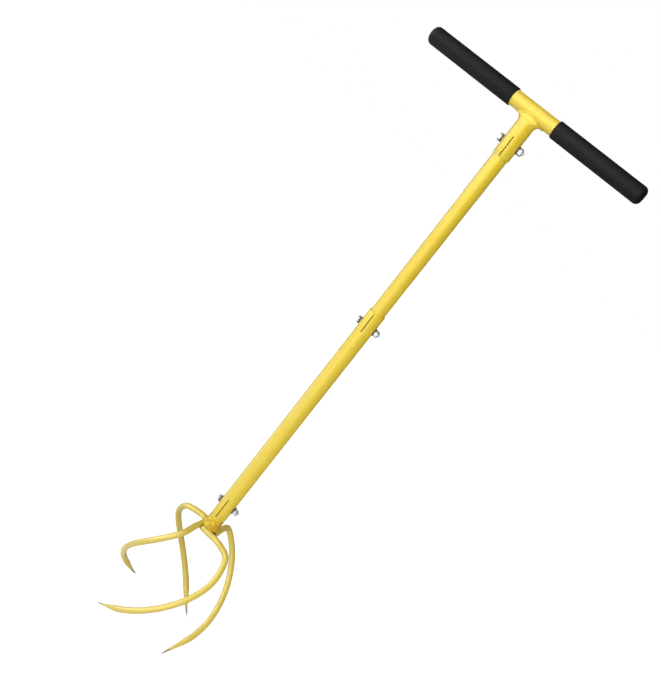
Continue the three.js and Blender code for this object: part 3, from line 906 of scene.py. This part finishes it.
def hexagonBody(name, height, chamferLow):
    # a hexagon bar, turned down to a cone at its corners
    form = fastenerSettings
    rim = form["corner"] + form["coneRim"]
    drop = (rim - form["faceRadius"]) * form["slope"]
    body = addCylinder(name, form["corner"], height, 6, (0, 0, height / 2), (0, 0, math.pi / 6))
    settle(body)
    low = drop if chamferLow else 0
    cone = addCylinder("cone", rim, height - drop - low, form["coneSides"],
                       (0, 0, (height - drop + low) / 2))
    settle(cone)
    selectPart(cone, "face", lambda centre, normal: normal.z > flatNormal)
    drawCone(cone, height, drop, form["faceRadius"] / rim)
    if chamferLow:
        selectPart(cone, "face", lambda centre, normal: normal.z < -flatNormal)
        drawCone(cone, 0, -drop, form["faceRadius"] / rim)
    cutAway(body, cone, "INTERSECT")
    mergePoints(body, seamMerge)   # the cone meets the corners in doubled points
    roundEdges(body, form["edgeRound"], 2, form["sharpest"])
    return body


def makeThreadRidge(start, end):
    # one triangle, wound up into the thread's ridge
    form = fastenerSettings
    bpy.ops.object.select_all(action="DESELECT")
    half = form["pitch"] * form["ridgeShare"]
    bpy.ops.mesh.primitive_circle_add(
        vertices=3, radius=half / math.cos(math.pi / 6), fill_type="NOTHING",
        location=(0, 0, 0), rotation=(quarterTurn, 0, 0))
    ridge = takeNew("ridge")
    settle(ridge)
    ridge.rotation_euler = (0, quarterTurn, 0)
    settle(ridge)
    furthest = max(point.co.x for point in ridge.data.vertices)
    ridge.location = (form["threadRadius"] - furthest, 0, start)
    settle(ridge)
    turns = int((end - start) / form["pitch"])
    modify(ridge, "SCREW", axis="Z", angle=2 * math.pi, screw_offset=form["pitch"], iterations=turns,
           steps=form["turnSteps"], render_steps=form["turnSteps"], use_smooth_shade=False)
    selectPart(ridge, "vertex", lambda point: True)
    bpy.ops.mesh.fill_holes(sides=0)
    leaveEdit()
    mergePoints(ridge, seamMerge)
    return ridge


def makeBolt(boltLength):
    form = fastenerSettings
    bolt = hexagonBody("boltModel", form["headHeight"], False)
    bolt.rotation_euler = (math.pi, 0, 0)   # the head's chamfer looks away from the shank
    settle(bolt)
    threadStart = boltLength - form["endShow"] - form["nutHeight"] - form["threadIn"]
    shank = addCylinder("shank", form["threadRadius"], threadStart + overrun, form["threadSides"],
                        (0, 0, (threadStart - overrun) / 2))
    settle(shank)
    core = addCylinder("core", form["coreRadius"], boltLength - threadStart + overrun, form["threadSides"],
                       (0, 0, (boltLength + threadStart - overrun) / 2))
    settle(core)
    selectPart(core, "edge", lambda a, b: min(a.z, b.z) > boltLength - pickSlack)
    bpy.ops.mesh.bevel(offset=form["endRound"], segments=2, affect="EDGES")
    leaveEdit()
    return joinPieces(bolt, shank, core, makeThreadRidge(threadStart, boltLength - form["endBare"]))


def makeNut():
    form = fastenerSettings
    nut = hexagonBody("nutModel", form["nutHeight"], True)
    bore = addCylinder("bore", form["threadRadius"] + form["boreGap"], 3 * form["nutHeight"],
                       form["threadSides"], (0, 0, form["nutHeight"] / 2))
    cutAway(nut, bore)

    def isMouth(a, b):
        isLevel = abs(a.z - b.z) < pickSlack
        return isLevel and max(a.xy.length, b.xy.length) < form["threadRadius"] + form["mouthBand"]

    selectPart(nut, "edge", isMouth)
    bpy.ops.mesh.bevel(offset=form["mouth"], segments=1, affect="EDGES")
    leaveEdit()
    return nut


def makeWasher():
    form = fastenerSettings
    washer = addCylinder("washerModel", form["washerRadius"], form["washerThickness"], form["washerSides"],
                         (0, 0, form["washerThickness"] / 2))
    settle(washer)
    selectPart(washer, "face", lambda centre, normal: abs(normal.z) > flatNormal)
    bpy.ops.mesh.inset(thickness=form["washerRadius"] - form["washerHole"], use_individual=True)
    bpy.ops.mesh.bridge_edge_loops()
    leaveEdit()
    roundEdges(washer, form["washerRound"], 3, form["sharpest"])
    # its faces are rubbed bright, its rim stays black, which also paints the shade of the gap against the
    # tube
    paintFaces(washer, blackOxide, zincPlate, lambda centre, normal: abs(normal.z) > flatNormal)
    return washer


def makeClamps():
    form = fastenerSettings
    washerSeat = sleeveRadius + form["gap"]
    headSeat = washerSeat + form["washerThickness"] + form["gap"]
    boltLength = 2 * headSeat + form["nutHeight"] + form["endShow"]
    models = {
        "Bolt": (makeBolt(boltLength), -headSeat, "bolt"),
        "BoltWasher": (makeWasher(), -(washerSeat + form["washerThickness"]), "bolt_washer"),
        "Nut": (makeNut(), headSeat, "nut"),
    }
    models["NutWasher"] = (models["BoltWasher"][0], washerSeat, "nut_washer")
    for model, x, node in models.values():
        smooth(model, form["crease"])
    for clamp, height, body in (("handle", handleBoltHeight, "handle_shaft"),
                                ("height", heightBoltHeight, "tine_shaft"),
                                ("hub", hubBoltHeight, "tine_shaft")):
        for part, (model, x, node) in models.items():
            place = Matrix.Translation((x, 0, height)) @ Matrix.Rotation(quarterTurn, 4, "Y")
            isWasher = "Washer" in part
            material, slotName = (blackOxide, "black_oxide") if isWasher else (zincPlate, "zinc_plate")
            finishPiece(copyPiece(model, clamp + part, place), material, slotName, body, clamp + "_" + node)
    for model in {entry[0] for entry in models.values()}:
        bpy.data.objects.remove(model)


makeClamps()
print("clamp fasteners: 12")


# Floor, lamps and camera

studioSettings = {
    "floorSize": 14, "floorColour": "#E2E2E2", "floorRoughness": 0.9,
    "floorLift": 0.7, "floorFar": 1.1, "liftFrom": 0.35, "liftTo": 1.0,
    "worldLevel": 0.09,
    # what the coat mirrors of the floor: bright on the left and further out
    "sweepNear": 0.9, "sweepFar": 2.5, "sweepFrom": 0.3, "sweepTo": 2.2,
    "sweepSideFrom": -0.1, "sweepSideTo": 0.8,
    # what the coat mirrors of the room: a bright wall on the left, a dark right side and ceiling
    "wallTurn": -44.0, "wallLevel": 6.5, "darkLevel": 0.08, "wallSideFrom": 0.15, "wallSideTo": 0.85,
    "ceilingShare": 0.32, "ceilingFrom": 0.25, "ceilingTo": 0.8,
    # each: turn round the tool's axis in degrees, distance, height, size, power, colour, height of its aim,
    # and whether the coat mirrors it
    "lamps": {
        "keySoftbox": (20, 2.0, 1.75, (1.3, 1.2), 29.5, (1, 1, 1), 0.5, False),
        "sideSoftbox": (-75, 2.4, 0.9, (1.0, 1.6), 1.6, (0.6, 1, 0.9), 0.55, False),
        "topSoftbox": (-25, 0.9, 2.4, (1.2, 1.2), 9.5, (1, 1, 1), 0.4, True),
        "frontSoftbox": (0, 0.8, 0.16, (0.8, 0.3), 0.9, (1, 1, 1), 0.1, False),
        "rimSoftbox": (-140, 2.2, 1.2, (1.0, 1.6), 4, (0.9, 1, 1), 0.55, True),
        "backSoftbox": (176, 2.2, 1.2, (1.0, 1.6), 14, (1, 1, 1), 0.55, False),
        "headLeftSoftbox": (-80, 0.7, 0.14, (0.4, 0.3), 1.0, (0.85, 0.96, 1), 0.1, True),
        "headRightSoftbox": (72, 0.55, 0.12, (0.4, 0.3), 0.4, (1, 0.97, 0.92), 0.1, False),
    },
}


def addBrightSide(tree, direction, start, end, dark, bright):
    # a level that rises towards the bright wall on the left of the studio
    turn = math.radians(studioSettings["wallTurn"])
    facing = addNode(tree, "ShaderNodeVectorMath", {"operation": "DOT_PRODUCT"}, {
        0: direction, 1: (math.sin(turn), -math.cos(turn), 0)})
    level = addNode(tree, "ShaderNodeMapRange", {"interpolation_type": "SMOOTHSTEP"}, {
        "Value": facing.outputs["Value"], "From Min": start, "From Max": end,
        "To Min": dark, "To Max": bright})
    return level.outputs[0]


def addSeenDirectly(tree, path):
    # 1 where the camera sees the surface, straight or through something clear
    seen = addNode(tree, "ShaderNodeMath", {"operation": "MAXIMUM"}, {
        0: path.outputs["Is Camera Ray"], 1: path.outputs["Is Transmission Ray"]})
    return seen.outputs[0]


def makeFloor():
    light = studioSettings
    bpy.ops.object.select_all(action="DESELECT")
    bpy.ops.mesh.primitive_plane_add(size=light["floorSize"], location=(0, 0, 0))
    floor = takeNew("studioFloor")
    material, tree, shader, place = newMaterial("paintedStudioFloor")
    shader.inputs["Base Color"].default_value = toLinear(light["floorColour"])
    shader.inputs["Roughness"].default_value = light["floorRoughness"]
    # seen straight, the paper floor is lifted to the white of the backdrop, and more further out
    path = addNode(tree, "ShaderNodeLightPath")
    seen = addSeenDirectly(tree, path)
    away = addNode(tree, "ShaderNodeVectorMath", {"operation": "LENGTH"}, {0: place})
    lift = addNode(tree, "ShaderNodeMapRange", inputs={
        "Value": away.outputs["Value"], "From Min": light["liftFrom"], "From Max": light["liftTo"],
        "To Min": light["floorLift"], "To Max": light["floorFar"]})
    straight = addNode(tree, "ShaderNodeMath", {"operation": "MULTIPLY"}, {0: seen, 1: lift.outputs[0]})
    # in the coat's gloss, its left side is the bright one
    outward = addNode(tree, "ShaderNodeVectorMath", {"operation": "NORMALIZE"}, {0: place})
    side = addBrightSide(tree, outward.outputs["Vector"],
                         light["sweepSideFrom"], light["sweepSideTo"], 0, 1)
    gleam = addNode(tree, "ShaderNodeMapRange", inputs={
        "Value": away.outputs["Value"], "From Min": light["sweepFrom"], "From Max": light["sweepTo"],
        "To Min": light["sweepNear"], "To Max": light["sweepFar"]})
    sweep = addNode(tree, "ShaderNodeMath", {"operation": "MULTIPLY"}, {0: side, 1: gleam.outputs[0]})
    level = addNode(tree, "ShaderNodeMix", {"data_type": "FLOAT"}, {
        0: path.outputs["Is Glossy Ray"], 2: straight.outputs[0], 3: sweep.outputs[0]})
    tree.links.new(level.outputs[0], shader.inputs["Emission Strength"])
    shader.inputs["Emission Color"].default_value = (1, 1, 1, 1)
    floor.data.materials.append(material)


def makeWorld():
    light = studioSettings
    world = bpy.data.worlds.new("studioBackdrop")
    bpy.context.scene.world = world
    world.use_nodes = True
    tree = world.node_tree
    tree.nodes.clear()
    path = addNode(tree, "ShaderNodeLightPath")
    seen = addSeenDirectly(tree, path)
    # in the coat's gloss the left of the studio is brighter than its right
    direction = addNode(tree, "ShaderNodeTexCoord").outputs["Generated"]
    wall = addBrightSide(tree, direction, light["wallSideFrom"], light["wallSideTo"],
                         light["darkLevel"], light["wallLevel"])
    split = addNode(tree, "ShaderNodeSeparateXYZ", inputs={"Vector": direction})
    ceiling = addNode(tree, "ShaderNodeMapRange", {"interpolation_type": "SMOOTHSTEP"}, {
        "Value": split.outputs["Z"], "From Min": light["ceilingFrom"], "From Max": light["ceilingTo"],
        "To Min": 1, "To Max": light["ceilingShare"]})
    mirrored = addNode(tree, "ShaderNodeMath", {"operation": "MULTIPLY"}, {0: wall, 1: ceiling.outputs[0]})
    lit = addNode(tree, "ShaderNodeMix", {"data_type": "FLOAT"}, {
        0: path.outputs["Is Glossy Ray"], 2: light["worldLevel"], 3: mirrored.outputs[0]})
    level = addNode(tree, "ShaderNodeMix", {"data_type": "FLOAT"}, {0: seen, 2: lit.outputs[0], 3: 1})
    sky = addNode(tree, "ShaderNodeBackground", inputs={
        "Color": (1, 1, 1, 1), "Strength": level.outputs[0]})
    addNode(tree, "ShaderNodeOutputWorld", inputs={"Surface": sky.outputs[0]})


def addSoftbox(name, turn, distance, height, size, power, colour, aimHeight, mirrored):
    angle = math.radians(turn)
    place = Vector((distance * math.sin(angle), -distance * math.cos(angle), height))
    bpy.ops.object.select_all(action="DESELECT")
    bpy.ops.object.light_add(type="AREA", location=place)
    lamp = takeNew(name)
    lamp.data.shape = "RECTANGLE"
    lamp.data.size, lamp.data.size_y = size
    lamp.data.energy = power
    lamp.data.color = colour
    lamp.visible_glossy = mirrored
    aim = Vector((0, 0, aimHeight)) - place
    lamp.rotation_euler = aim.to_track_quat("-Z", "Y").to_euler()


cameraSettings = {
    "focalPixels": 1023.27, "imageHeight": 678,
    "turn": 12.688, "distance": 1.4073, "height": 1.0040,   # where it stands, round the tool's axis
    "yaw": 1.251, "pitch": 17.64, "roll": 37.741,
    "sensor": 36, "nearest": 0.02, "furthest": 60,
}


def makeCamera():
    view = cameraSettings
    turn, yaw, pitch, roll = (math.radians(view[name]) for name in ("turn", "yaw", "pitch", "roll"))
    place = Vector((view["distance"] * math.sin(turn), -view["distance"] * math.cos(turn), view["height"]))
    bpy.ops.object.camera_add(location=place)
    camera = takeNew("photoCamera")
    heading = turn + yaw
    look = Vector((-math.sin(heading) * math.cos(pitch), math.cos(heading) * math.cos(pitch),
                   -math.sin(pitch)))
    level = look.cross(Vector((0, 0, 1))).normalized()
    upright = level.cross(look)
    right = level * math.cos(roll) + upright * math.sin(roll)
    up = upright * math.cos(roll) - level * math.sin(roll)
    camera.rotation_euler = Matrix((right, up, -look)).transposed().to_euler()
    camera.data.sensor_width = view["sensor"]   # it lies along the picture's long side
    camera.data.lens = view["focalPixels"] / view["imageHeight"] * view["sensor"]
    camera.data.clip_start, camera.data.clip_end = view["nearest"], view["furthest"]
    bpy.context.scene.camera = camera


makeFloor()
makeWorld()
for lampName, lampPlace in studioSettings["lamps"].items():
    addSoftbox(lampName, *lampPlace)
makeCamera()
bpy.context.scene.view_settings.view_transform = "Standard"
print("studio: floor, backdrop,", len(studioSettings["lamps"]), "lamps, camera")
